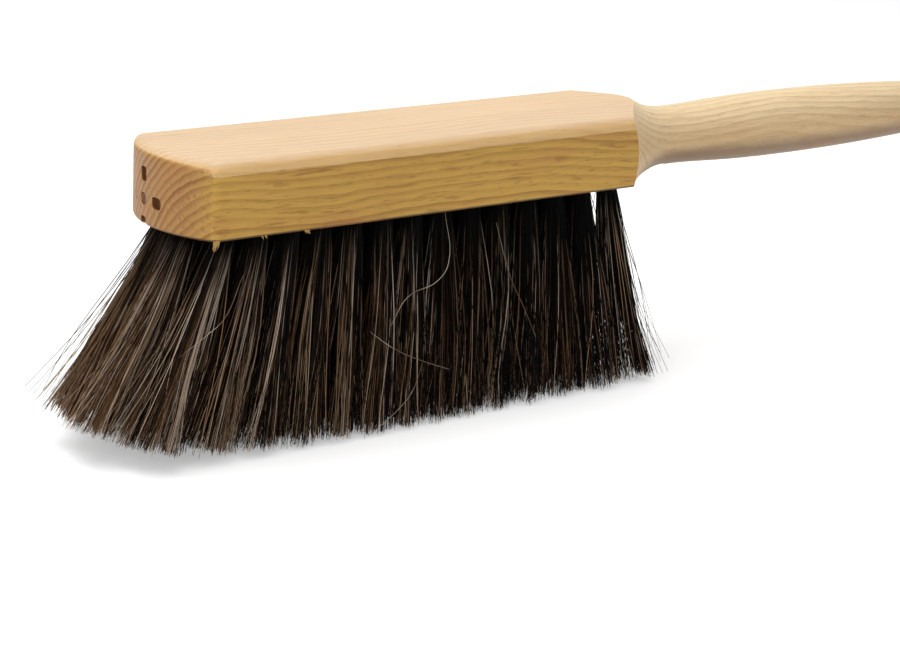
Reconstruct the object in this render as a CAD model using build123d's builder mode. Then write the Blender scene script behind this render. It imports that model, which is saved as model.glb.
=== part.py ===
from build123d import *
from math import cos, exp, pi, radians, sin, sqrt
import os

# Hand brush in millimetres: one turned piece of beech, tufted with horsehair.
# X runs from the toe to the handle, Y across the brush and Z up. The brush stands
# on its hair tips, so Z = 0 is the floor, and X = 0 lies halfway along the whole
# brush, from the tips of the toe hairs to the end of the handle.

# Block
block_length = 151.5  # straight sides, from the toe corners to the heel
block_width = 44.1
block_thickness = 22.0
toe_rise = 7.6  # how far the curved toe stands out past its corners
toe_corner_round = 3.0
toe_rim_round = 0.8
top_edge_round = 3.0
bottom_edge_round = 1.2

# Turned shoulder and handle, all about one axis
axis_height = 8.2  # above the underside of the block
axis_y = 4.2  # the axis lies this far beside the middle of the block
cove_lead = 5.6  # the turned cove starts this far before the end of the straight sides
cove_length = 38.1
cove_radius = 31.3  # where the cove starts, outside the block's corners
neck_radius = 9.4
swell_radius = 10.7
swell_distance = 51.0  # from the neck to the thickest part of the handle
handle_length = 142.0  # from the neck to the end
tail_radius = 7.2  # where the rounded end begins
tail_round = 5.5  # length of the rounded end
rise_share = 0.7  # of the swelling that is there halfway to its thickest part

# Hanging hole through the handle's tail
hanging_hole_radius = 3.0
hanging_hole_inset = 14.0  # from the end of the handle
hanging_hole_round = 0.6

# Marks that the lathe's four-spur centre left in the toe
spur_height = 7.5  # of their middle, above the underside
spur_y = 4.2
spur_reach = 7.0  # from the middle to a blade mark
spur_width = 3.4
spur_length = 4.2
spur_round = 1.2
spur_depth = 1.6
spur_point_radius = 1.8
spur_point_depth = 0.7

# Tufts
tufts_per_row = 14
toe_margin = 2.0  # from the toe corners to the first inner tufts
heel_margin = 7.0  # from the last outer tuft to the end of the straight sides
side_margin = 7.0  # from an outer row to the side of the block
hole_radius = 3.1
hole_depth = 11.0
tuft_clearance = 0.1
bottom_clearance = 0.3

# Staples that hold the folded tufts down in their holes
staple_wire_radius = 0.35
staple_spread = 3.2  # between the middles of its legs
staple_bend = 0.9
staple_crown_depth = 2.6  # of hair between the crown and the bottom of the hole
staple_bite = 3.5  # into the wood past the bottom of the hole
staple_clearance = 0.08

# Hair
bristle_trim = 62.0  # from the floor to the underside of the block
trimmed_off = 1.0  # how much longer the hair is than the trim
strands_per_tuft = 8  # one in the middle and the rest in a ring round it
strand_sides = 4
strand_root_radius = 0.72
strand_tip_radius = 0.55
ring_radius = 1.9
fold_round = 1.2  # of the folded hair at the bottom of its hole
root_depth = 1.0  # how far a strand reaches up into its root bundle
tip_fill_share = 0.86  # of the room that a tuft has among its neighbours' tips
curve_share = 0.15  # of the lean that comes only towards the tip

# Lean of the tufts in degrees. The toe and the heel fan out, and so do the sides.
toe_tilt = 21.0
toe_fade = 20.0  # length over which the toe's fan fades
drift_tilt = 9.0  # lean towards the toe that fades evenly along the block
heel_tilt = 10.0
heel_fade = 12.0
side_tilt = 6.0

overrun = 5.0  # how far cutting tools run past a face

# Places that follow from the sizes above
half_width = block_width / 2
block_top = bristle_trim + block_thickness
axis_z = bristle_trim + axis_height
toe_arc_radius = (half_width**2 + toe_rise**2) / (2 * toe_rise)
hair_length = bristle_trim + trimmed_off
hole_run = block_length - toe_margin - heel_margin
tuft_pitch = hole_run / (tufts_per_row - 0.5)
outer_row_y = half_width - side_margin
row_pitch = outer_row_y * 2 / 3
ring_count = strands_per_tuft - 1


def lean_x(run):
    """How far a tuft's tip stands out along X, at a distance from the first tuft."""
    angle = toe_tilt * exp(-run / toe_fade) + drift_tilt * (1 - run / hole_run)
    angle -= heel_tilt * exp((run - hole_run) / heel_fade)
    return -hair_length * sin(radians(angle))


def lean_y(y):
    """How far a tuft's tip stands out sideways."""
    return hair_length * sin(radians(side_tilt * y / outer_row_y))


def tip_half_x(run):
    """Half the room along X that a tuft fills among its neighbours' tips."""
    fan = lean_x(run + tuft_pitch / 2) - lean_x(run - tuft_pitch / 2)
    return (tuft_pitch + fan) / 2 * tip_fill_share


def tip_half_y(y):
    """Half the room along Y that a tuft fills among its neighbours' tips."""
    fan = lean_y(y + row_pitch / 2) - lean_y(y - row_pitch / 2)
    return (row_pitch + fan) / 2 * tip_fill_share


def ring_place(number):
    """Where a strand leaves its root bundle, from the bundle's middle, in ring radii."""
    turn = pi + 2 * pi * number / ring_count
    return Vector(cos(turn), sin(turn), 0) if number < ring_count else Vector(0, 0, 0)


def strand_way(run, y, number):
    """The vector from a strand's root at the underside to its tip before trimming."""
    place = ring_place(number)
    out_x = lean_x(run) + place.X * (tip_half_x(run) - ring_radius)
    out_y = lean_y(y) + place.Y * (tip_half_y(y) - ring_radius)
    drop = sqrt(hair_length**2 - lean_x(run) ** 2 - lean_y(y) ** 2)
    return Vector(out_x, out_y, -drop).normalized() * hair_length


# The foremost hair of the first inner tufts and the end of the handle set the middle.
toe_hair_way = strand_way(0, outer_row_y / 3, 0)
toe_hair_reach = ring_radius + strand_tip_radius - toe_margin - toe_hair_way.X
body_reach = block_length - cove_lead + cove_length + handle_length
toe_corner_x = toe_hair_reach - (toe_hair_reach + body_reach) / 2
cove_x = toe_corner_x + block_length - cove_lead
neck_x = cove_x + cove_length
swell_x = neck_x + swell_distance
handle_end_x = neck_x + handle_length
tail_x = handle_end_x - tail_round
toe_x = toe_corner_x - toe_rise


def cove_point(length_share, drop_share):
    """A point of the cove's outline, in shares of its length and of its drop to the neck."""
    radius = cove_radius + drop_share * (neck_radius - cove_radius)
    return (cove_x + length_share * cove_length, axis_z + radius)


def hole_plane(run, y):
    """A plane at the mouth of a tuft's hole, with its Z axis up the hole."""
    mouth = Vector(toe_corner_x + toe_margin + run, y, bristle_trim)
    way = strand_way(run, y, ring_count)
    out = Vector(way.X, way.Y, 0) * (1 - curve_share)
    return Plane(origin=mouth, x_dir=(1, 0, 0), z_dir=Vector(0, 0, -way.Z) - out)


def strand(run, y, number):
    """One strand: a tapering prism from the root bundle to its tip, cut flat at the floor."""
    root = hole_plane(run, y).origin + ring_place(number) * ring_radius
    way = strand_way(run, y, number)
    tip_share = min(1, bristle_trim / -way.Z)
    with BuildPart() as hair:
        for share in (root_depth / way.Z, tip_share / 2, tip_share):
            below = max(share, 0)
            middle = root + way * share * (1 - curve_share + curve_share * below)
            radius = strand_root_radius + below * (strand_tip_radius - strand_root_radius)
            with BuildSketch(Plane.XY.offset(bristle_trim + share * way.Z)):
                with Locations((middle.X, middle.Y)):
                    RegularPolygon(radius, strand_sides)
        loft(ruled=True)
    return hair.part


def staple(wire_radius):
    """A U of wire in a hole's own frame, with its legs in line across the brush."""
    crown_z = hole_depth - staple_crown_depth
    tip_z = hole_depth + staple_bite + wire_radius - staple_wire_radius
    leg_y = staple_spread / 2
    with BuildPart() as wire:
        with BuildLine(Plane.YZ):
            FilletPolyline(
                (-leg_y, tip_z),
                (-leg_y, crown_z),
                (leg_y, crown_z),
                (leg_y, tip_z),
                radius=staple_bend,
            )
        with BuildSketch(Plane.XY.offset(tip_z)):
            with Locations((0, -leg_y)):
                Circle(wire_radius)
        sweep()
    return wire.part


tuft_rows = [
    ("near", -outer_row_y, 0.5),
    ("near_inner", -outer_row_y / 3, 0),
    ("far_inner", outer_row_y / 3, 0),
    ("far", outer_row_y, 0.5),
]
tufts = [
    (f"tuft_{row}_{column + 1:02d}", (column + stagger) * tuft_pitch, y)
    for row, y, stagger in tuft_rows
    for column in range(tufts_per_row)
]
hole_planes = [hole_plane(run, y) for name, run, y in tufts]
one_staple = staple(staple_wire_radius)
staple_channel = staple(staple_wire_radius + staple_clearance)

# Drill for a tuft's hole, in the hole's own frame
with BuildPart() as drill:
    with BuildSketch(Plane.XY.offset(-overrun)):
        Circle(hole_radius)
    extrude(amount=overrun + hole_depth)

# Root of a tuft in the same frame: hair packed in its hole and folded over the staple
with BuildPart() as root_bundle:
    with BuildSketch(Plane.XY.offset(-overrun)):
        Circle(hole_radius - tuft_clearance)
    extrude(amount=overrun + hole_depth - bottom_clearance)
    fold = root_bundle.edges().group_by(Axis.Z)[-1]
    fillet(fold, radius=fold_round)
    add(staple_channel, mode=Mode.SUBTRACT)

# Block and handle: a block with a curved toe, a turned heel and a turned handle
with BuildPart() as block_and_handle:
    with BuildSketch(Plane.XY.offset(bristle_trim)):
        with BuildLine():
            toe = ThreePointArc(
                (toe_corner_x, half_width), (toe_x, 0), (toe_corner_x, -half_width)
            )
            Polyline(toe @ 1, (neck_x, -half_width), (neck_x, half_width), toe @ 0)
        make_face()
    extrude(amount=block_thickness)
    top_face = block_and_handle.faces().sort_by(Axis.Z)[-1]
    fillet(top_face.edges().filter_by(Axis.X), radius=top_edge_round)
    toe_corners = block_and_handle.edges().filter_by(Axis.Z).group_by(Axis.X)[0]
    fillet(toe_corners, radius=toe_corner_round)
    underside = block_and_handle.faces().sort_by(Axis.Z)[0]
    fillet(underside.edges().sort_by(Axis.X)[:-1], radius=bottom_edge_round)

    # The rim of the curved toe is broken, as if turned about the toe's own centre.
    with BuildSketch(Plane.XZ):
        with BuildLine():
            rim = CenterArc(
                (toe_x + toe_rim_round, block_top - toe_rim_round), toe_rim_round, 90, 90
            )
            Polyline(rim @ 1, (toe_x, block_top), rim @ 0)
        make_face()
    toe_centre = (toe_x + toe_arc_radius, 0, 0)
    revolve(axis=Axis(toe_centre, (0, 0, 1)), revolution_arc=90, mode=Mode.SUBTRACT)

    # The turned cove shapes the heel and runs down to the neck.
    with BuildSketch(Plane.XZ.offset(-axis_y)):
        with BuildLine():
            cove = Spline(
                cove_point(0, 0),
                cove_point(0.2, 0.35),
                cove_point(0.45, 0.69),
                cove_point(0.68, 0.9),
                cove_point(1, 1),
                tangents=[(1, -1), (1, 0)],
            )
            Polyline(
                cove @ 1,
                (neck_x, axis_z),
                (toe_x - overrun, axis_z),
                (toe_x - overrun, axis_z + cove_radius),
                cove @ 0,
            )
        make_face()
    revolve(axis=Axis((0, axis_y, axis_z), (1, 0, 0)), mode=Mode.INTERSECT)

    # The handle swells, tapers towards its tail and ends in a dome.
    swell = swell_radius - neck_radius
    with BuildSketch(Plane.XZ.offset(-axis_y)):
        with BuildLine():
            rise = Spline(
                (neck_x, axis_z + neck_radius),
                (neck_x + swell_distance / 2, axis_z + neck_radius + rise_share * swell),
                (swell_x, axis_z + swell_radius),
                tangents=[(1, 0), (1, 0)],
            )
            tail_slope = 2 * (tail_radius - swell_radius) / (tail_x - swell_x)
            taper = Spline(
                rise @ 1, (tail_x, axis_z + tail_radius), tangents=[(1, 0), (1, tail_slope)]
            )
            dome = Spline(
                taper @ 1, (handle_end_x, axis_z), tangents=[(1, tail_slope), (0, -1)]
            )
            Polyline(dome @ 1, (neck_x, axis_z), rise @ 0)
        make_face()
    revolve(axis=Axis((0, axis_y, axis_z), (1, 0, 0)))

    hole_x = handle_end_x - hanging_hole_inset
    before = block_and_handle.edges()
    with Locations((hole_x, axis_y, axis_z)):
        Cylinder(hanging_hole_radius, 2 * swell_radius + overrun, mode=Mode.SUBTRACT)
    fillet(block_and_handle.edges() - before, radius=hanging_hole_round)

    # Four blade marks and a centre mark in the toe
    with BuildSketch(Plane.YZ.offset(toe_x - overrun)):
        with Locations((spur_y, bristle_trim + spur_height)):
            with PolarLocations(spur_reach, 4):
                RectangleRounded(spur_length, spur_width, spur_round)
    extrude(amount=overrun + spur_depth, mode=Mode.SUBTRACT)
    with BuildSketch(Plane.YZ.offset(toe_x - overrun)):
        with Locations((spur_y, bristle_trim + spur_height)):
            Circle(spur_point_radius)
    extrude(amount=overrun + spur_point_depth, mode=Mode.SUBTRACT)

    # Holes for the tufts, each with two narrow ones past its bottom for the staple's legs
    with Locations(*hole_planes):
        add(drill.part, mode=Mode.SUBTRACT)
        add(staple_channel, mode=Mode.SUBTRACT)
block_and_handle.part.label = "block_and_handle"

# One staple in every hole
with BuildPart() as tuft_staples:
    with Locations(*hole_planes):
        add(one_staple)
tuft_staples.part.label = "tuft_staples"

os.makedirs("parts", exist_ok=True)
export_step(block_and_handle.part, "parts/block_and_handle.step")
export_step(tuft_staples.part, "parts/tuft_staples.step")

# Tufts: a root bundle and its strands, joined at once
for (name, run, y), plane in zip(tufts, hole_planes):
    strands = [strand(run, y, number) for number in range(strands_per_tuft)]
    with BuildPart() as tuft:
        with Locations(plane):
            add(root_bundle.part)
        split(bisect_by=Plane.XY.offset(bristle_trim), keep=Keep.TOP)
        add(strands)
    tuft.part.label = name
    export_step(tuft.part, f"parts/{name}.step")
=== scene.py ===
import math
import random

import bmesh
import bpy
from mathutils import Matrix, Vector


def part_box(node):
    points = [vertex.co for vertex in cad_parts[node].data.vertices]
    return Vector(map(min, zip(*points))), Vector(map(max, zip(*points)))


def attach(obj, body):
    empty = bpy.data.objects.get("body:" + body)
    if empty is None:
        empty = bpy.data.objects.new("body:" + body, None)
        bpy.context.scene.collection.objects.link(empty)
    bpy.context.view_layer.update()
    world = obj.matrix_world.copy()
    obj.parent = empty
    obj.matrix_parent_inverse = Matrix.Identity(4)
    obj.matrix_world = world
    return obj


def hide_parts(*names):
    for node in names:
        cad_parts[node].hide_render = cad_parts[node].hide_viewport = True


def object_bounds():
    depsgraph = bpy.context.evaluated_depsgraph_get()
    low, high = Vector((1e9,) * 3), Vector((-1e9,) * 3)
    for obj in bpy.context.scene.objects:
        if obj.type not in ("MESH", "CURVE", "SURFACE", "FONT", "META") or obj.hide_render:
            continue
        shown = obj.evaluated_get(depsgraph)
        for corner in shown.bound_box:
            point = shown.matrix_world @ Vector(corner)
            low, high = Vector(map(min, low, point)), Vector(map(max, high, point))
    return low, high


# Hand brush in metres: beech block and turned handle, tufted with horsehair.
# +X runs from the toe to the handle, +Y to the far side, +Z up from the hair tips.
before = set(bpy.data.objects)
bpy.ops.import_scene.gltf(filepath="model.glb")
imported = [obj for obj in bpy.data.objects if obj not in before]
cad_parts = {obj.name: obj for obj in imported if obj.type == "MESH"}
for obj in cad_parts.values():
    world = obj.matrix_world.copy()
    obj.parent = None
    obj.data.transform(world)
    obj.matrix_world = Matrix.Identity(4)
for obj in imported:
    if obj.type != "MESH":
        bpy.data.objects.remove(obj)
cad_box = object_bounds()
MM = 0.001

# The block, read from its node, and the holes that its tufts stand in
wood_low, wood_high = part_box("block_and_handle")
toe_x = wood_low[0]
half_width = wood_high[1]
axis_y = 4.2 * MM
block_top = wood_high[2]
block_thickness = 22.0 * MM
underside = block_top - block_thickness
toe_rise = 7.6 * MM
toe_corner_x = toe_x + toe_rise
block_length = 151.5 * MM
toe_margin = 2.0 * MM
heel_margin = 7.0 * MM
cove_lead = 5.6 * MM
axis_height = 8.2 * MM
side_margin = 7.0 * MM
hole_radius = 3.1 * MM
tufts_per_row = 14
hole_run = block_length - toe_margin - heel_margin
tuft_pitch = hole_run / (tufts_per_row - 0.5)
outer_row_y = half_width - side_margin
row_pitch = outer_row_y * 2 / 3

# Hair
hair_length = underside + 1.0 * MM
hairs_per_tuft = 430
hair_points = 8
hair_radius = 0.115 * MM
light_hair_growth = 0.35
hair_tip_share = 0.5
hair_root_depth = 2.0 * MM
locks_per_tuft = 20
lock_lean = 1.3 * MM
lock_sway = 2.5 * MM
hair_scatter = 1.6 * MM
bundle_flare = 0.5 * MM  # how far a bundle swells just below its hole
flare_share = 0.14
hair_sway = 1.4 * MM
stray_share = 0.12
stray_scatter = 5.0 * MM
stray_sway = 3.5 * MM
end_spread_share = 0.55  # of its way outwards that a hair keeps at either end of a row
uneven_share = 0.02  # of its length, the spread by which a lock falls short
own_uneven_share = 0.012  # and that of a single hair
tip_clearance = 0.4  # millimetres, the most that the cut leaves under a tip
lock_bends = (0.7, 1.9)  # half turns in a lock's wave, least and most
hair_bend = 1.4  # and in that of a single hair
lock_grip_shares = (0.35, 0.9)  # of the way to its lock's tip that a hair goes, least and most
thickness_shares = (0.75, 1.15)  # of the usual radius, least and most
lock_tone_spread = 0.05  # among the hairs that share their lock's tone
lightest_tone = 0.999  # just under 1, the end of the tone map
own_tone_share = 0.85  # of the hairs, past the toe, that have a tone other than their lock's
toe_lock_share = 0.45  # taken off it at the toe
hair_reach_y = cad_box[1][1] + 1.2 * MM
heel_darkness = 3.1
toe_lightness = 2.72
tone_fade = 45.0 * MM
tone_columns = 32

# Lean of the tufts in degrees, as their holes are drilled
toe_tilt = 21.0
toe_fade = 20.0 * MM
drift_tilt = 9.0
heel_tilt = 10.0
heel_fade = 12.0 * MM
side_tilt = 6.0
curve_share = 0.15


def lean_x(run):
    """How far a tuft's tip stands out along X, at a distance from the first tuft."""
    angle = toe_tilt * math.exp(-run / toe_fade) + drift_tilt * (1 - run / hole_run)
    angle -= heel_tilt * math.exp((run - hole_run) / heel_fade)
    return -hair_length * math.sin(math.radians(angle))


def lean_y(y):
    """How far a tuft's tip stands out sideways."""
    return hair_length * math.sin(math.radians(side_tilt * y / outer_row_y))


def tip_room(run, y):
    """Half the room along X and along Y that a tuft has among its neighbours' tips."""
    fan_x = lean_x(run + tuft_pitch / 2) - lean_x(run - tuft_pitch / 2)
    fan_y = lean_y(y + row_pitch / 2) - lean_y(y - row_pitch / 2)
    return (tuft_pitch + fan_x) / 2, (row_pitch + fan_y) / 2


# Node tree helpers
def add_node(tree, kind, **values):
    """A node of this kind. Its sockets are set by name, and its own settings likewise."""
    node = tree.nodes.new(kind)
    for name, value in values.items():
        if name in node.inputs:
            node.inputs[name].default_value = value
        else:
            setattr(node, name, value)
    return node


def maths(tree, operation, first, second=0.0, third=0.0, clamp=False):
    """A Math node fed with sockets or numbers. Returns its output."""
    node = tree.nodes.new("ShaderNodeMath")
    node.operation = operation
    node.use_clamp = clamp
    for socket, value in zip(node.inputs, (first, second, third)):
        if isinstance(value, bpy.types.NodeSocket):
            tree.links.new(value, socket)
        else:
            socket.default_value = value
    return node.outputs[0]


def vector_maths(tree, operation, first, second=(0, 0, 0)):
    """A Vector Math node fed with sockets or vectors. Returns its vector output."""
    node = tree.nodes.new("ShaderNodeVectorMath")
    node.operation = operation
    for socket, value in zip(node.inputs, (first, second)):
        if isinstance(value, bpy.types.NodeSocket):
            tree.links.new(value, socket)
        else:
            socket.default_value = value
    return node.outputs["Value" if operation == "LENGTH" else "Vector"]


def between(tree, value, low, high):
    """0 below low, 1 above high and smooth between them."""
    node = tree.nodes.new("ShaderNodeMapRange")
    node.interpolation_type = "SMOOTHSTEP"
    node.inputs["From Min"].default_value = low
    node.inputs["From Max"].default_value = high
    tree.links.new(value, node.inputs["Value"])
    return node.outputs["Result"]


def mixed(tree, share, first, second, blend="MIX"):
    """A colour mix. Every input is a socket or a plain value."""
    node = tree.nodes.new("ShaderNodeMix")
    node.data_type = "RGBA"
    node.blend_type = blend
    for index, value in ((0, share), (6, first), (7, second)):
        if isinstance(value, bpy.types.NodeSocket):
            tree.links.new(value, node.inputs[index])
        else:
            node.inputs[index].default_value = value
    return node.outputs[2]


def stretched_noise(tree, vector, scale, detail=2.0, roughness=0.5):
    """Noise over a vector in millimetres, with a scale for each axis. Returns its factor."""
    place = vector_maths(tree, "MULTIPLY", vector, scale)
    node = add_node(tree, "ShaderNodeTexNoise", Scale=1.0, Detail=detail, Roughness=roughness)
    tree.links.new(place, node.inputs["Vector"])
    return node.outputs["Fac"]


def rgb(red, green, blue):
    """A colour given as a screen shows it, 0 to 255, as linear values with full alpha."""
    def linear(value):
        value /= 255
        return value / 12.92 if value <= 0.04045 else ((value + 0.055) / 1.055) ** 2.4
    return (linear(red), linear(green), linear(blue), 1.0)


def new_group(name, inputs, outputs):
    """A shader node group with named sockets. Returns it with its two end nodes."""
    group = bpy.data.node_groups.new(name, "ShaderNodeTree")
    for label, kind in inputs:
        group.interface.new_socket(label, in_out="INPUT", socket_type=kind)
    for label, kind in outputs:
        group.interface.new_socket(label, in_out="OUTPUT", socket_type=kind)
    start = group.nodes.new("NodeGroupInput")
    end = group.nodes.new("NodeGroupOutput")
    return group, start, end


# Scales of the figure per millimetre, along the grain and twice across it
cloud_scale = (0.008, 0.03, 0.03)
slow_wave_scale = (0.011, 0.02, 0.02)
quick_wave_scale = (0.05, 0.16, 0.16)
dash_scale = (0.17, 2.3, 2.3)
broad_dash_scale = (0.085, 0.95, 0.95)
fibre_scale = (0.09, 3.4, 3.4)
slow_wave_reach = (0, 9.0, 9.0)  # millimetres
quick_wave_reach = (0, 1.5, 1.5)
late_wood_shares = (0.25, 0.95)  # of a ring's width over which it darkens
ring_start_share = 0.12  # and over which the dark of the last one ends


# Beech figure: growth rings round a pith line near the grain direction, ray flecks and fibre
def beech_figure_group():
    group, start, end = new_group(
        "beech_figure",
        [("Place", "NodeSocketVector"), ("Ring Width", "NodeSocketFloat")],
        [
            ("Rings", "NodeSocketFloat"),
            ("Ring Tone", "NodeSocketFloat"),
            ("Flecks", "NodeSocketFloat"),
            ("Fibre", "NodeSocketFloat"),
            ("Cloud", "NodeSocketFloat"),
        ],
    )
    place = start.outputs["Place"]
    cloud = stretched_noise(group, place, cloud_scale, 3.0)
    slow = add_node(group, "ShaderNodeTexNoise", Scale=1.0, Detail=1.0)
    group.links.new(
        vector_maths(group, "MULTIPLY", place, slow_wave_scale), slow.inputs["Vector"]
    )
    quick = add_node(group, "ShaderNodeTexNoise", Scale=1.0, Detail=2.0)
    group.links.new(
        vector_maths(group, "MULTIPLY", place, quick_wave_scale), quick.inputs["Vector"]
    )
    slow_wave = vector_maths(group, "MULTIPLY", slow.outputs["Color"], slow_wave_reach)
    quick_wave = vector_maths(group, "MULTIPLY", quick.outputs["Color"], quick_wave_reach)
    waved = vector_maths(group, "ADD", vector_maths(group, "ADD", place, slow_wave), quick_wave)
    across = vector_maths(group, "MULTIPLY", waved, (0, 1, 1))
    distance = vector_maths(group, "LENGTH", across)
    ring = maths(group, "DIVIDE", distance, start.outputs["Ring Width"])
    part = maths(group, "FRACT", ring)
    late = between(group, part, *late_wood_shares)
    start_of_ring = between(group, part, 0.0, ring_start_share)
    rings = maths(group, "MULTIPLY", late, start_of_ring)
    tone = add_node(group, "ShaderNodeTexWhiteNoise", noise_dimensions="1D")
    group.links.new(maths(group, "FLOOR", ring), tone.inputs["W"])

    cells = add_node(group, "ShaderNodeTexVoronoi", Scale=1.0, Randomness=1.0)
    group.links.new(
        vector_maths(group, "MULTIPLY", waved, dash_scale), cells.inputs["Vector"]
    )
    dash = between(group, cells.outputs["Distance"], 0.3, 0.1)
    picked = add_node(group, "ShaderNodeSeparateColor")
    group.links.new(cells.outputs["Color"], picked.inputs["Color"])
    fine_dashes = maths(group, "MULTIPLY", dash, between(group, picked.outputs[0], 0.4, 0.8))
    broad_dashes = between(
        group, stretched_noise(group, waved, broad_dash_scale, 3.0, 0.6), 0.52, 0.72
    )
    flecks = maths(group, "MAXIMUM", fine_dashes, broad_dashes)
    fibre = stretched_noise(group, place, fibre_scale, 3.0, 0.6)
    for name, value in (
        ("Rings", rings),
        ("Ring Tone", tone.outputs["Value"]),
        ("Flecks", flecks),
        ("Fibre", fibre),
        ("Cloud", cloud),
    ):
        group.links.new(value, end.inputs[name])
    return group


# Sizes and shares of the beech finish
edge_drop = 3.3 * MM  # from the top to the lower line of the rounded edge
tone_edge = 0.5 * MM  # over which one tone of the wood passes into the next
nick_depth = 1.6 * MM  # by which the fibre frays the colour at that line
neck_tone_start = 13.3 * MM  # from the turned axis, where the neck's painted light begins
neck_tone_full = 12.5 * MM
end_near_y = -12.0 * MM  # between these the end grain passes from its near tone to a paler, greyer far tone, painted light where the curved toe turns to the light
end_far_y = 20.0 * MM
mark_tint_start = 0.12 * MM  # depth behind the face of the toe
mark_tint_full = 0.3 * MM
mark_top_gap = 4.0 * MM  # the spur marks' tint keeps this far below the top
mark_top_fade = 2.0 * MM
mark_reach = 5.0 * MM  # and this near the toe
mark_reach_fade = 3.0 * MM
mark_bottom_gap = 0.8 * MM
mark_bottom_fade = 0.6 * MM
mark_colour_share = 0.85
patch_colour_share = 0.45
neck_plain_share = 0.75
ring_colour_share = 0.42
plain_ring_share = 0.28  # taken off it on plain wood
end_ring_share = 0.32  # added to it on end grain
fleck_colour_share = 0.5
plain_fleck_share = 0.38  # taken off it on plain wood
grain_height = 0.12 * MM
pith_offset = (0.0, 46.0, -38.0)  # millimetres from the pith line to the frame's origin
pith_turn = (0.0, math.radians(-1.2), math.radians(0.8))
ring_width = 2.1  # millimetres


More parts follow.
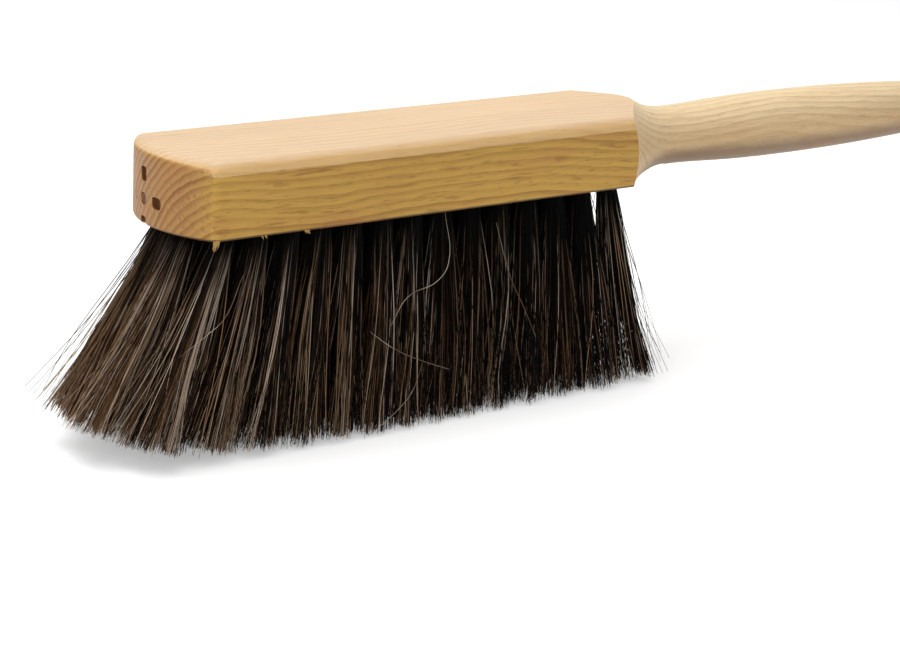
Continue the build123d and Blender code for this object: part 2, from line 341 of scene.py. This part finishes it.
def beech_material():
    material = bpy.data.materials.new("oiled_beech")
    material.use_nodes = True
    tree = material.node_tree
    shader = tree.nodes["Principled BSDF"]
    coordinates = add_node(tree, "ShaderNodeTexCoord")
    to_mm = add_node(tree, "ShaderNodeMapping", vector_type="POINT")
    to_mm.inputs["Location"].default_value = pith_offset
    to_mm.inputs["Rotation"].default_value = pith_turn
    to_mm.inputs["Scale"].default_value = (1000, 1000, 1000)
    tree.links.new(coordinates.outputs["Object"], to_mm.inputs["Vector"])
    figure = add_node(tree, "ShaderNodeGroup")
    figure.node_tree = beech_figure_group()
    figure.inputs["Ring Width"].default_value = ring_width
    tree.links.new(to_mm.outputs["Vector"], figure.inputs["Place"])

    geometry = add_node(tree, "ShaderNodeNewGeometry")
    facing = add_node(tree, "ShaderNodeSeparateXYZ")
    tree.links.new(geometry.outputs["Normal"], facing.inputs["Vector"])
    upward = between(tree, facing.outputs["Z"], 0.35, 0.95)
    # Painted shade: faces turned downwards are painted darker, on the block's lower edge and under the
    # handle
    shade_facing_down = between(tree, facing.outputs["Z"], -0.1, -0.6)
    endward = between(tree, maths(tree, "ABSOLUTE", facing.outputs["X"]), 0.75, 0.95)
    place = add_node(tree, "ShaderNodeSeparateXYZ")
    tree.links.new(coordinates.outputs["Object"], place.inputs["Vector"])
    past_shoulder = between(tree, place.outputs["X"], shoulder_x, shoulder_x + tone_edge)
    from_axis = vector_maths(
        tree, "SUBTRACT", coordinates.outputs["Object"], (0, axis_y, underside + axis_height)
    )
    radial = vector_maths(tree, "MULTIPLY", from_axis, (0, 1, 1))
    from_centre_line = vector_maths(tree, "LENGTH", radial)
    slim = between(tree, from_centre_line, neck_tone_start, neck_tone_full)
    turned = maths(tree, "MAXIMUM", slim, between(tree, facing.outputs["X"], 0.1, 0.25))
    at_neck = maths(tree, "MULTIPLY", past_shoulder, turned)
    nicks = maths(
        tree, "MULTIPLY_ADD", figure.outputs["Fibre"], nick_depth, place.outputs["Z"]
    )
    rounded = between(tree, nicks, edge_line, edge_line + tone_edge)
    rounded = maths(tree, "MULTIPLY", rounded, maths(tree, "SUBTRACT", 1.0, endward, clamp=True))

    # Painted light and shade on the block: its side is painted a warm golden shade, and the rounded
    # top edge and the top are paler lit tones of the same wood
    side = mixed(tree, shade_facing_down, rgb(226, 178, 84), rgb(96, 76, 46))
    edge_painted_light = mixed(tree, upward, rgb(255, 209, 142), rgb(237, 204, 163))
    flat = mixed(tree, rounded, side, edge_painted_light)
    # Painted light on the handle: a paler tone than the block, lightest on top and darker on its
    # sides, with painted shade underneath
    sideways = between(tree, facing.outputs["Z"], 0.75, -0.1)
    handle_painted_light = mixed(tree, sideways, rgb(250, 222, 176), rgb(243, 208, 156))
    handle_painted_light = mixed(tree, shade_facing_down, handle_painted_light, rgb(162, 134, 104))
    flat = mixed(tree, at_neck, flat, handle_painted_light)
    # Painted light: the far part of the toe's end grain is painted paler and greyer
    end_side = between(tree, place.outputs["Y"], end_near_y, end_far_y)
    end_colour = mixed(tree, end_side, rgb(202, 150, 88), rgb(204, 160, 116))
    base = mixed(tree, endward, flat, end_colour)

    patches = stretched_noise(tree, to_mm.outputs["Vector"], (0.035, 0.14, 0.14), 3.0)
    patch_share = maths(tree, "MULTIPLY", between(tree, patches, 0.48, 0.75), patch_colour_share)
    plain = maths(tree, "MAXIMUM", rounded, maths(tree, "MULTIPLY", at_neck, neck_plain_share))
    patch_share = maths(tree, "MULTIPLY", patch_share, maths(tree, "SUBTRACT", 1.0, plain))
    base = mixed(tree, patch_share, base, rgb(214, 146, 84))

    ring_depth = maths(tree, "MULTIPLY_ADD", plain, -plain_ring_share, ring_colour_share)
    ring_depth = maths(tree, "MULTIPLY_ADD", endward, end_ring_share, ring_depth)
    ring_share = maths(tree, "MULTIPLY", figure.outputs["Rings"], ring_depth)
    toned = maths(tree, "MULTIPLY_ADD", figure.outputs["Ring Tone"], 0.9, 0.45)
    ring_share = maths(tree, "MULTIPLY", ring_share, toned)
    colour = mixed(tree, ring_share, base, rgb(146, 88, 36))
    fibre = maths(tree, "MULTIPLY_ADD", figure.outputs["Fibre"], 0.4, 0.8)
    colour = mixed(tree, 1.0, colour, fibre, "MULTIPLY")
    cloud = maths(tree, "MULTIPLY_ADD", figure.outputs["Cloud"], 0.3, 0.86)
    colour = mixed(tree, 1.0, colour, cloud, "MULTIPLY")
    fleck_depth = maths(tree, "MULTIPLY_ADD", plain, -plain_fleck_share, fleck_colour_share)
    fleck_share = maths(tree, "MULTIPLY", figure.outputs["Flecks"], fleck_depth)
    colour = mixed(tree, fleck_share, colour, rgb(140, 84, 40))

    # The spur marks are dark inside, and lie deeper than the curved face of the toe.
    from_centre = vector_maths(
        tree, "SUBTRACT", coordinates.outputs["Object"], (toe_x + toe_arc_radius, 0, 0)
    )
    level = vector_maths(tree, "MULTIPLY", from_centre, (1, 1, 0))
    depth = maths(tree, "SUBTRACT", toe_arc_radius, vector_maths(tree, "LENGTH", level))
    in_mark = between(tree, depth, mark_tint_start, mark_tint_full)
    mark_top = block_top - mark_top_gap
    below_rim = between(tree, place.outputs["Z"], mark_top + mark_top_fade, mark_top)
    mark_end = toe_x + mark_reach
    by_toe = between(tree, place.outputs["X"], mark_end + mark_reach_fade, mark_end)
    mark_bottom = underside + mark_bottom_gap
    above_bottom = between(
        tree, place.outputs["Z"], mark_bottom - mark_bottom_fade, mark_bottom
    )
    in_mark = maths(tree, "MULTIPLY", in_mark, maths(tree, "MULTIPLY", below_rim, by_toe))
    in_mark = maths(tree, "MULTIPLY", in_mark, above_bottom)
    colour = mixed(tree, maths(tree, "MULTIPLY", in_mark, mark_colour_share), colour, rgb(104, 56, 34))
    tree.links.new(colour, shader.inputs["Base Color"])

    rough = maths(tree, "MULTIPLY_ADD", figure.outputs["Fibre"], 0.22, 0.42)
    tree.links.new(rough, shader.inputs["Roughness"])
    height = maths(tree, "MULTIPLY_ADD", figure.outputs["Rings"], -0.4, figure.outputs["Fibre"])
    bump = add_node(tree, "ShaderNodeBump", Strength=0.22, Distance=grain_height)
    tree.links.new(height, bump.inputs["Height"])
    tree.links.new(bump.outputs["Normal"], shader.inputs["Normal"])
    shader.inputs["Specular IOR Level"].default_value = 0.42
    return material


# Horsehair: the tone of each hair is a column of its UV map, and its length runs up the map
hair_map = "OFBake"
column_spots = (0.7, 0.3)  # where a hair's sides lie in the width of its column
map_margin = 0.01
column_noise_step = 7.3
length_noise_scale = 5.0
root_wander_share = 0.3
tip_wander_share = 0.5
root_fade_shares = (-0.1, 0.22)  # of its length over which a hair leaves the painted shade at its root
tip_fade_shares = (0.5, 1.2)  # and over which it takes the tone of the tips
full_ginger_share = 0.4


def horsehair_material():
    material = bpy.data.materials.new("horsehair")
    material.use_nodes = True
    tree = material.node_tree
    shader = tree.nodes["Principled BSDF"]
    strand_map = add_node(tree, "ShaderNodeUVMap", uv_map=hair_map)
    place = add_node(tree, "ShaderNodeSeparateXYZ")
    tree.links.new(strand_map.outputs["UV"], place.inputs["Vector"])
    column = maths(tree, "FLOOR", maths(tree, "MULTIPLY", place.outputs["X"], tone_columns))
    tone = maths(tree, "DIVIDE", column, tone_columns - 1)
    along = place.outputs["Y"]
    roots = add_node(tree, "ShaderNodeValToRGB")
    tips = add_node(tree, "ShaderNodeValToRGB")
    # The root tones are darker than the tip tones: painted shade under the block
    root_stops = (
        (0.0, (2, 2, 2)),
        (0.4, (5, 4, 3)),
        (0.62, (38, 27, 19)),
        (0.75, (104, 72, 46)),
        (0.86, (156, 132, 106)),
        (1.0, (206, 201, 192)),
    )
    tip_stops = (
        (0.0, (6, 5, 5)),
        (0.38, (16, 12, 10)),
        (0.55, (62, 45, 33)),
        (0.7, (122, 88, 58)),
        (0.84, (164, 136, 106)),
        (1.0, (206, 198, 186)),
    )
    for ramp, stops in ((roots, root_stops), (tips, tip_stops)):
        elements = ramp.color_ramp.elements
        while len(elements) < len(stops):
            elements.new(0.5)
        for element, (position, colour) in zip(elements, stops):
            element.position = position
            element.color = rgb(*colour)
        tree.links.new(tone, ramp.inputs["Fac"])
    wander = add_node(tree, "ShaderNodeTexNoise", Scale=1.0, Detail=2.0)
    spread = add_node(tree, "ShaderNodeCombineXYZ")
    tree.links.new(maths(tree, "MULTIPLY", column, column_noise_step), spread.inputs["X"])
    tree.links.new(maths(tree, "MULTIPLY", along, length_noise_scale), spread.inputs["Y"])
    tree.links.new(spread.outputs["Vector"], wander.inputs["Vector"])
    shifted = maths(tree, "MULTIPLY_ADD", wander.outputs["Fac"], tip_wander_share, along)
    toward_tip = between(tree, shifted, *tip_fade_shares)
    colour = mixed(tree, toward_tip, roots.outputs["Color"], tips.outputs["Color"])
    # Painted shade: the hairs are near-black at their roots, where the block shades them
    from_root = maths(tree, "MULTIPLY_ADD", wander.outputs["Fac"], -root_wander_share, along)
    root_shade = between(tree, from_root, *root_fade_shares)
    colour = mixed(tree, root_shade, rgb(6, 5, 5), colour)
    hue = add_node(tree, "ShaderNodeTexWhiteNoise", noise_dimensions="1D")
    tree.links.new(maths(tree, "ADD", column, 0.5), hue.inputs["W"])
    reddish = between(tree, hue.outputs["Value"], 0.45, 0.8)
    ginger_share = maths(tree, "MULTIPLY", reddish, full_ginger_share)
    colour = mixed(tree, ginger_share, colour, rgb(255, 196, 138), "MULTIPLY")
    tree.links.new(colour, shader.inputs["Base Color"])
    shader.inputs["Roughness"].default_value = 0.55
    shader.inputs["Specular IOR Level"].default_value = 0.06
    return material


def staple_material():
    material = bpy.data.materials.new("drawn_staple_wire")
    material.use_nodes = True
    tree = material.node_tree
    shader = tree.nodes["Principled BSDF"]
    coordinates = add_node(tree, "ShaderNodeTexCoord")
    grain = add_node(tree, "ShaderNodeTexNoise", Scale=2600.0, Detail=2.0)
    tree.links.new(coordinates.outputs["Object"], grain.inputs["Vector"])
    colour = mixed(tree, grain.outputs["Fac"], (0.5, 0.5, 0.51, 1), (0.7, 0.7, 0.71, 1))
    tree.links.new(colour, shader.inputs["Base Color"])
    tree.links.new(
        maths(tree, "MULTIPLY_ADD", grain.outputs["Fac"], 0.2, 0.22), shader.inputs["Roughness"]
    )
    shader.inputs["Metallic"].default_value = 1.0
    return material


# Hairs cling together in locks. A lock has its own place, lean, bend, length and tone.
class Lock:
    def __init__(self, rng, run):
        self.spot = in_circle(rng)
        self.lean = Vector((rng.gauss(0, lock_lean), rng.gauss(0, lock_lean), 0))
        self.sway = in_circle(rng) * lock_sway
        self.bend = rng.uniform(*lock_bends) * math.pi
        self.grip = rng.uniform(*lock_grip_shares)
        self.trim = abs(rng.gauss(0, uneven_share))
        self.tone = hair_tone(rng, run)


def in_circle(rng):
    """A random place in a level circle of radius 1."""
    turn = rng.uniform(0, 2 * math.pi)
    return Vector((math.cos(turn), math.sin(turn), 0)) * math.sqrt(rng.random())


def hair_tone(rng, run):
    """How light a hair is, from 0 to 1. The toe has more light hairs than the heel."""
    return rng.random() ** (heel_darkness - toe_lightness * math.exp(-run / tone_fade))


def tip_offset(rng, run, y, spot, lock, stray):
    """Where a hair's tip stands, seen from the middle of its tuft's tips."""
    room_x, room_y = tip_room(run, y)
    tip_spot = spot.lerp(lock.spot, 0 if stray else lock.grip)
    scatter = stray_scatter if stray else hair_scatter
    out = lock.lean + Vector((tip_spot.x * room_x, tip_spot.y * room_y, 0))
    out += Vector((rng.gauss(0, scatter), rng.gauss(0, scatter), 0))
    outward = (out.x < 0 and run < tuft_pitch) or (out.x > 0 and run > hole_run - tuft_pitch)
    if outward and not stray:
        out.x *= end_spread_share
    return out


def hair_line(rng, run, y, locks):
    """Points, radii and tone of one hair of the tuft at this place."""
    spot = in_circle(rng)
    mouth = Vector((toe_corner_x + toe_margin + run, y, underside))
    root = mouth + spot * (hole_radius - 2 * hair_radius)
    lock = min(locks, key=lambda lock: (lock.spot - spot).length)
    stray = rng.random() < stray_share
    drop = math.sqrt(hair_length**2 - lean_x(run) ** 2 - lean_y(y) ** 2)
    line = []
    while not line or max(abs(at.y) for at in line) > hair_reach_y:
        out = tip_offset(rng, run, y, spot, lock, stray)
        out += Vector((lean_x(run), lean_y(y), -drop)) - spot * hole_radius
        way = out.normalized() * hair_length * (1 - lock.trim - abs(rng.gauss(0, own_uneven_share)))
        end_share = min(1.0, (underside - hair_radius - rng.uniform(0, tip_clearance) * MM) / -way.z)
        sway = in_circle(rng) * (stray_sway if stray else hair_sway)
        line = []
        for step in range(hair_points):
            share = step / (hair_points - 1) * end_share
            if step == 0:
                share = -hair_root_depth / hair_length
            below = max(share, 0)
            at = root + way * share * (1 - curve_share + curve_share * below)
            at.z = root.z + way.z * share
            at += lock.sway * math.sin(lock.bend * below) * below
            at += spot * bundle_flare * min(1, below / flare_share)
            at += sway * math.sin(hair_bend * math.pi * below) * below
            line.append(at)
    own_share = own_tone_share - toe_lock_share * math.exp(-run / tone_fade)
    own = stray or rng.random() < own_share
    tone = hair_tone(rng, run) if own else lock.tone + rng.gauss(0, lock_tone_spread)
    tone = min(max(tone, 0), lightest_tone)
    thickness = hair_radius * rng.uniform(*thickness_shares) * (1 + light_hair_growth * tone)
    radii = [
        thickness * (1 - (1 - hair_tip_share) * step / (hair_points - 1))
        for step in range(hair_points)
    ]
    return line, radii, tone


def piece_from_curve(name, curve, finish):
    """A bevelled curve made a mesh piece with this finish. The curve itself is removed."""
    holder = bpy.data.objects.new(name + "_lines", curve)
    mesh = bpy.data.meshes.new_from_object(holder)
    mesh.name = name
    bpy.data.objects.remove(holder)
    bpy.data.curves.remove(curve)
    mesh.shade_smooth()
    mesh.materials.clear()
    mesh.materials.append(finish)
    piece = bpy.data.objects.new(name, mesh)
    bpy.context.collection.objects.link(piece)
    return piece


def hair_tuft(name, node, run, y, seed):
    """A tuft's hairs as one mesh, made from a bevelled curve with a spline for each hair."""
    rng = random.Random(seed)
    locks = [Lock(rng, run) for _ in range(locks_per_tuft)]
    tones = []
    curve = bpy.data.curves.new(name + "_lines", "CURVE")
    curve.dimensions = "3D"
    curve.bevel_depth = 1.0
    curve.bevel_resolution = 0
    curve.use_fill_caps = False
    for _ in range(hairs_per_tuft):
        line, radii, tone = hair_line(rng, run, y, locks)
        tones.append(tone)
        spline = curve.splines.new("POLY")
        spline.points.add(hair_points - 1)
        spline.points.foreach_set("co", [value for at in line for value in (*at, 1.0)])
        spline.points.foreach_set("radius", radii)
    piece = piece_from_curve(name, curve, hair_finish)
    paint_tones(piece.data, tones)
    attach(piece, "root")
    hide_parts(node)


def paint_tones(mesh, tones):
    """Lays the hairs out on the tone map: a column for the tone, and root to tip up the map."""
    per_hair = len(mesh.vertices) // hairs_per_tuft
    sides = per_hair // hair_points
    columns = [int(tone * tone_columns) for tone in tones]
    while mesh.uv_layers:
        mesh.uv_layers.remove(mesh.uv_layers[0])
    layer = mesh.uv_layers.new(name=hair_map)
    places = []
    for loop in mesh.loops:
        hair, corner = divmod(loop.vertex_index, per_hair)
        ring, side = divmod(corner, sides)
        places.append((columns[hair] + column_spots[side % 2]) / tone_columns)
        places.append(map_margin + (1 - 2 * map_margin) * ring / (hair_points - 1))
    layer.uv.foreach_set("vector", places)


shoulder_x = toe_corner_x + block_length - cove_lead
edge_line = block_top - edge_drop
toe_arc_radius = (half_width**2 + toe_rise**2) / (2 * toe_rise)
hair_finish = horsehair_material()
for node_name in ("block_and_handle", "tuft_staples"):
    cad_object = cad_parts[node_name]
    finish = beech_material() if node_name == "block_and_handle" else staple_material()
    for slot in cad_object.material_slots:
        slot.material = finish

seed = 0
for row, y_share, stagger in (
    ("near", -1, 0.5),
    ("near_inner", -1 / 3, 0),
    ("far_inner", 1 / 3, 0),
    ("far", 1, 0.5),
):
    for column in range(tufts_per_row):
        seed += 1
        label = f"{row}_{column + 1:02d}"
        run = (column + stagger) * tuft_pitch
        hair_tuft("hair_" + label, "tuft_" + label, run, y_share * outer_row_y, seed)


# Single long hairs that cross the others in front
crossing_hair_radius = 0.09 * MM
crossing_tip_share = 0.45
# Millimetres: X from the toe corner, Y, Z
crossing_courses = (
    ((80, -18.5, 62), (79.4, -22.4, 47), (74.6, -24, 42.6), (63.1, -25, 39.3), (57, -26, 32)),
    ((68, -27.5, 20), (63.1, -29, 11.4), (57.7, -29.5, 7), (49, -29.5, 1.4)),
    ((99, -19, 56), (102.4, -23.2, 39.6), (106.7, -24.8, 30.5), (110.3, -27, 21.3)),
    ((50, -25.5, 31), (57.2, -27.3, 25.5), (66.9, -28.2, 20.6), (77, -28.4, 16.5)),
    ((144.5, -18, 62), (147, -20.5, 50), (153, -24.5, 32), (159, -28.2, 4)),
    ((145.5, -17.5, 62), (149, -19, 48), (156, -22, 30), (163, -26, 8)),
    ((9, -22, 52), (0.8, -25.8, 41.6), (-5.3, -26.8, 38), (-14.3, -28, 33.6)),
)


def crossing_hairs():
    curve = bpy.data.curves.new("crossing_hair_lines", "CURVE")
    curve.dimensions = "3D"
    curve.bevel_depth = crossing_hair_radius
    curve.bevel_resolution = 1
    curve.resolution_u = 6
    for course in crossing_courses:
        spline = curve.splines.new("BEZIER")
        spline.bezier_points.add(len(course) - 1)
        for number, (x, y, z) in enumerate(course):
            point = spline.bezier_points[number]
            point.co = (toe_corner_x + x * MM, y * MM, z * MM)
            point.handle_left_type = point.handle_right_type = "AUTO"
            at_end = number in (0, len(course) - 1)
            point.radius = crossing_tip_share if at_end else 1.0
    piece = piece_from_curve("crossing_hairs", curve, pale_hair_material())
    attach(piece, "root")


def pale_hair_material():
    material = bpy.data.materials.new("pale_hair")
    material.use_nodes = True
    tree = material.node_tree
    shader = tree.nodes["Principled BSDF"]
    coordinates = add_node(tree, "ShaderNodeTexCoord")
    tint = add_node(tree, "ShaderNodeTexNoise", Scale=70.0, Detail=2.0)
    tree.links.new(coordinates.outputs["Object"], tint.inputs["Vector"])
    share = between(tree, tint.outputs["Fac"], 0.38, 0.62)
    colour = mixed(tree, share, rgb(120, 92, 66), rgb(208, 196, 178))
    tree.links.new(colour, shader.inputs["Base Color"])
    shader.inputs["Roughness"].default_value = 0.5
    return material


# Bursts of torn fibres on the lower near edge
burr_run_spread = 0.45  # millimetres
burr_depth_spread = 0.05  # millimetres
burr_slant_spread = 0.15
burr_length_shares = (0.45, 1.0)  # least and most
burr_points = 4
burr_root_radius = 0.32 * MM
burr_tip_radius = 0.04 * MM
burr_inset = 0.5 * MM  # from the side of the block
burr_root_depth = 0.5 * MM  # inside the block
# Millimetres from the toe corner, number of fibres, their length in millimetres, their slant
burr_bursts = ((0.7, 9, 2.6, -0.3), (16.0, 3, 0.9, 0.6), (29.5, 4, 1.2, 0.9))


def edge_burrs():
    rng = random.Random(77)
    curve = bpy.data.curves.new("edge_burr_lines", "CURVE")
    curve.dimensions = "3D"
    curve.bevel_depth = 1.0
    curve.bevel_resolution = 1
    for run, count, fall, slant in burr_bursts:
        for number in range(count):
            x = toe_corner_x + (run + rng.gauss(0, burr_run_spread)) * MM
            length = fall * rng.uniform(*burr_length_shares) * MM
            spline = curve.splines.new("POLY")
            spline.points.add(burr_points - 1)
            for step, point in enumerate(spline.points):
                share = step / (burr_points - 1)
                point.co = (
                    x + (slant + rng.gauss(0, burr_slant_spread)) * share * length,
                    burr_y + rng.gauss(0, burr_depth_spread) * MM,
                    underside + burr_root_depth - share * (length + burr_root_depth),
                    1.0,
                )
                point.radius = burr_root_radius + share * (burr_tip_radius - burr_root_radius)
    piece = piece_from_curve("edge_burrs", curve, torn_fibre_material())
    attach(piece, "root")


def torn_fibre_material():
    material = bpy.data.materials.new("torn_beech_fibre")
    material.use_nodes = True
    tree = material.node_tree
    shader = tree.nodes["Principled BSDF"]
    coordinates = add_node(tree, "ShaderNodeTexCoord")
    tint = add_node(tree, "ShaderNodeTexNoise", Scale=2200.0, Detail=2.0)
    tree.links.new(coordinates.outputs["Object"], tint.inputs["Vector"])
    colour = mixed(tree, tint.outputs["Fac"], rgb(188, 142, 74), rgb(226, 188, 118))
    tree.links.new(colour, shader.inputs["Base Color"])
    shader.inputs["Roughness"].default_value = 0.8
    return material


burr_y = -half_width + burr_inset
crossing_hairs()
edge_burrs()


# Camera, as solved from the photograph's edges
eye_place = (-338.67, -563.2, 232.22)  # millimetres, X from the toe corner
view_turn = (-37.515, 17.007, 2.929)  # degrees of azimuth, elevation and roll
lens_length = 97.39
picture_shift = (0.0147, 0.0118)


def photo_camera():
    eye_x, eye_y, eye_z = eye_place
    eye = Vector((toe_corner_x + eye_x * MM, eye_y * MM, eye_z * MM))
    azimuth, elevation, roll = (math.radians(degrees) for degrees in view_turn)
    data = bpy.data.cameras.new("photo_camera")
    data.sensor_width = 36.0
    data.lens = lens_length
    data.shift_x, data.shift_y = picture_shift
    camera = bpy.data.objects.new("photo_camera", data)
    turn = Matrix.Rotation(azimuth, 4, "Z") @ Matrix.Rotation(math.pi / 2 - elevation, 4, "X")
    camera.matrix_world = Matrix.Translation(eye) @ turn @ Matrix.Rotation(roll, 4, "Z")
    bpy.context.collection.objects.link(camera)
    bpy.context.scene.camera = camera


# Studio: two soft lamps, a white floor that keeps the shadow and a white surround
overhead_place = (-0.1, 0.15, 1.1)
left_front_place = (-1.0, -0.7, 0.55)
left_front_aim = (-0.05, 0, 0.05)
floor_half_size = 6.0
floor_glow = 0.37  # where it is seen
fill_strength = 0.3
seen_gain = 0.7  # what makes the surround white where it is seen


def soft_light(name, place, aim, size, power):
    data = bpy.data.lights.new(name, "AREA")
    data.shape = "SQUARE"
    data.size = size
    data.energy = power
    lamp = bpy.data.objects.new(name, data)
    lamp.location = place
    lamp.rotation_euler = (Vector(aim) - Vector(place)).to_track_quat("-Z", "Y").to_euler()
    bpy.context.collection.objects.link(lamp)


def white_floor():
    mesh = bpy.data.meshes.new("floor")
    shape = bmesh.new()
    bmesh.ops.create_grid(shape, x_segments=1, y_segments=1, size=floor_half_size)
    shape.to_mesh(mesh)
    shape.free()
    floor = bpy.data.objects.new("floor", mesh)
    bpy.context.collection.objects.link(floor)
    material = bpy.data.materials.new("white_paper")
    material.use_nodes = True
    tree = material.node_tree
    shader = tree.nodes["Principled BSDF"]
    shader.inputs["Roughness"].default_value = 0.9
    shader.inputs["Specular IOR Level"].default_value = 0.1
    path = add_node(tree, "ShaderNodeLightPath")
    seen = maths(tree, "MAXIMUM", path.outputs["Is Camera Ray"], path.outputs["Is Glossy Ray"])
    seen = maths(tree, "MAXIMUM", seen, path.outputs["Is Transmission Ray"])
    colour = mixed(tree, seen, (0.78, 0.78, 0.78, 1), (1.0, 1.0, 1.0, 1))
    tree.links.new(colour, shader.inputs["Base Color"])
    shader.inputs["Emission Color"].default_value = (1, 1, 1, 1)
    tree.links.new(maths(tree, "MULTIPLY", seen, floor_glow), shader.inputs["Emission Strength"])
    mesh.materials.append(material)


def white_world():
    world = bpy.data.worlds.new("studio")
    bpy.context.scene.world = world
    world.use_nodes = True
    tree = world.node_tree
    background = tree.nodes["Background"]
    background.inputs["Color"].default_value = (1, 1, 1, 1)
    path = add_node(tree, "ShaderNodeLightPath")
    seen = maths(tree, "MAXIMUM", path.outputs["Is Camera Ray"], path.outputs["Is Glossy Ray"])
    seen = maths(tree, "MAXIMUM", seen, path.outputs["Is Transmission Ray"])
    strength = maths(tree, "MULTIPLY_ADD", seen, seen_gain, fill_strength)
    tree.links.new(strength, background.inputs["Strength"])


photo_camera()
soft_light("overhead", overhead_place, (0, 0, 0), size=1.0, power=9.0)
soft_light("left_front", left_front_place, left_front_aim, size=0.7, power=2.6)
white_floor()
white_world()
bpy.context.scene.view_settings.view_transform = "Standard"
